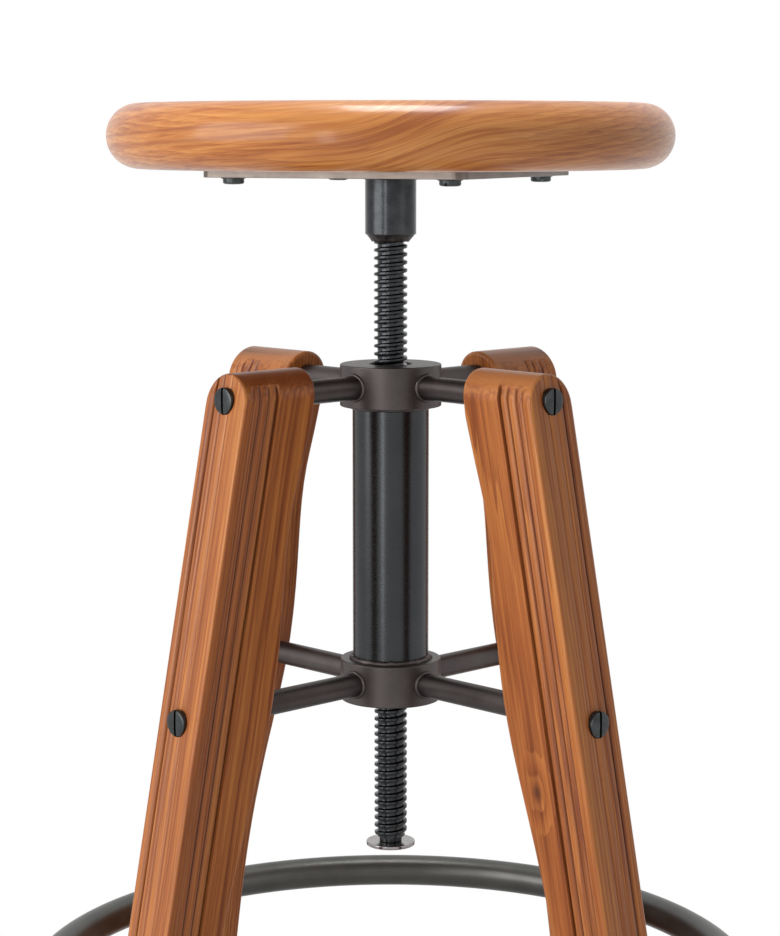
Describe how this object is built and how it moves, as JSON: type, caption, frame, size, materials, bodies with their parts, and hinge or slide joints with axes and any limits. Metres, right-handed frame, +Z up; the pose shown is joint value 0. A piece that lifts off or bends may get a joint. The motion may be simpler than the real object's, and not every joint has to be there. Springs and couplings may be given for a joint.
{
  "type": "machinist stool",
  "caption": "Screw-lift machinist stool: round wooden seat on a threaded spindle, steel column with arms, four splayed reeded wooden legs and a round foot ring.",
  "frame": {"origin": "on the floor, under the axis of the column", "axes": "+Z up along the column; -Y is the front; the legs stand at 45 degrees to X and Y"},
  "size_m": [0.4749, 0.4748, 0.762],
  "materials": {
    "seat_wood": "honey-stained hardwood board under satin lacquer",
    "leg_wood": "reclaimed pine, red-brown stain, satin lacquer, reeded outer half",
    "plate_steel": "bare mill-finish steel, lightly oiled",
    "black_steel": "dark brown-grey satin lacquer over steel",
    "ring_steel": "satin dark grey lacquer over bent tube",
    "spindle_steel": "blackened and oiled turned steel",
    "fastener_steel": "blackened steel, satin",
    "washer_steel": "oiled bare steel",
    "bush_brass": "turned, dull",
    "glide_plastic": "moulded black nylon"
  },
  "bodies": {
    "frame": {"upper_collar": "black_steel", "lift_nut": "spindle_steel", "lower_collar": "black_steel", "guide_bush": "bush_brass", "centre_tube": "black_steel", "tube_welds": "black_steel", "upper_arm_front_right": "black_steel", "upper_arm_back_right": "black_steel", "upper_arm_back_left": "black_steel", "upper_arm_front_left": "black_steel", "upper_arm_welds": "black_steel", "upper_leg_screws": "fastener_steel", "lower_arm_front_right": "black_steel", "lower_arm_back_right": "black_steel", "lower_arm_back_left": "black_steel", "lower_arm_front_left": "black_steel", "lower_arm_welds": "black_steel", "lower_leg_screws": "fastener_steel", "leg_front_right": "leg_wood", "leg_back_right": "leg_wood", "leg_back_left": "leg_wood", "leg_front_left": "leg_wood", "foot_ring": "ring_steel", "ring_screws": "fastener_steel", "glide_front_right": "glide_plastic", "glide_back_right": "glide_plastic", "glide_back_left": "glide_plastic", "glide_front_left": "glide_plastic"},
    "stop": {"stop_washer": "washer_steel"},
    "seat": {"seat": "seat_wood", "seat_plate": "plate_steel", "plate_screws": "fastener_steel", "plate_washers": "fastener_steel", "seat_sleeve": "black_steel", "sleeve_welds": "black_steel", "lift_screw": "spindle_steel", "washer_screw": "fastener_steel"}
  },
  "joints": [
    {"name": "seat_rise", "type": "slide", "parent": "frame", "child": "stop", "axis": [0, 0, 1], "range_m": [-0.0756, 0.0936]},
    {"name": "seat_turn", "type": "hinge", "parent": "stop", "child": "seat", "pos_m": [0, 0, 0.29], "axis": [0, 0, 1], "range_deg": [-5436, 6732]}
  ],
  "couplings": [
    {"joint": "seat_rise", "follows": "seat_turn", "m_per_rad": 0.00079577}
  ]
}
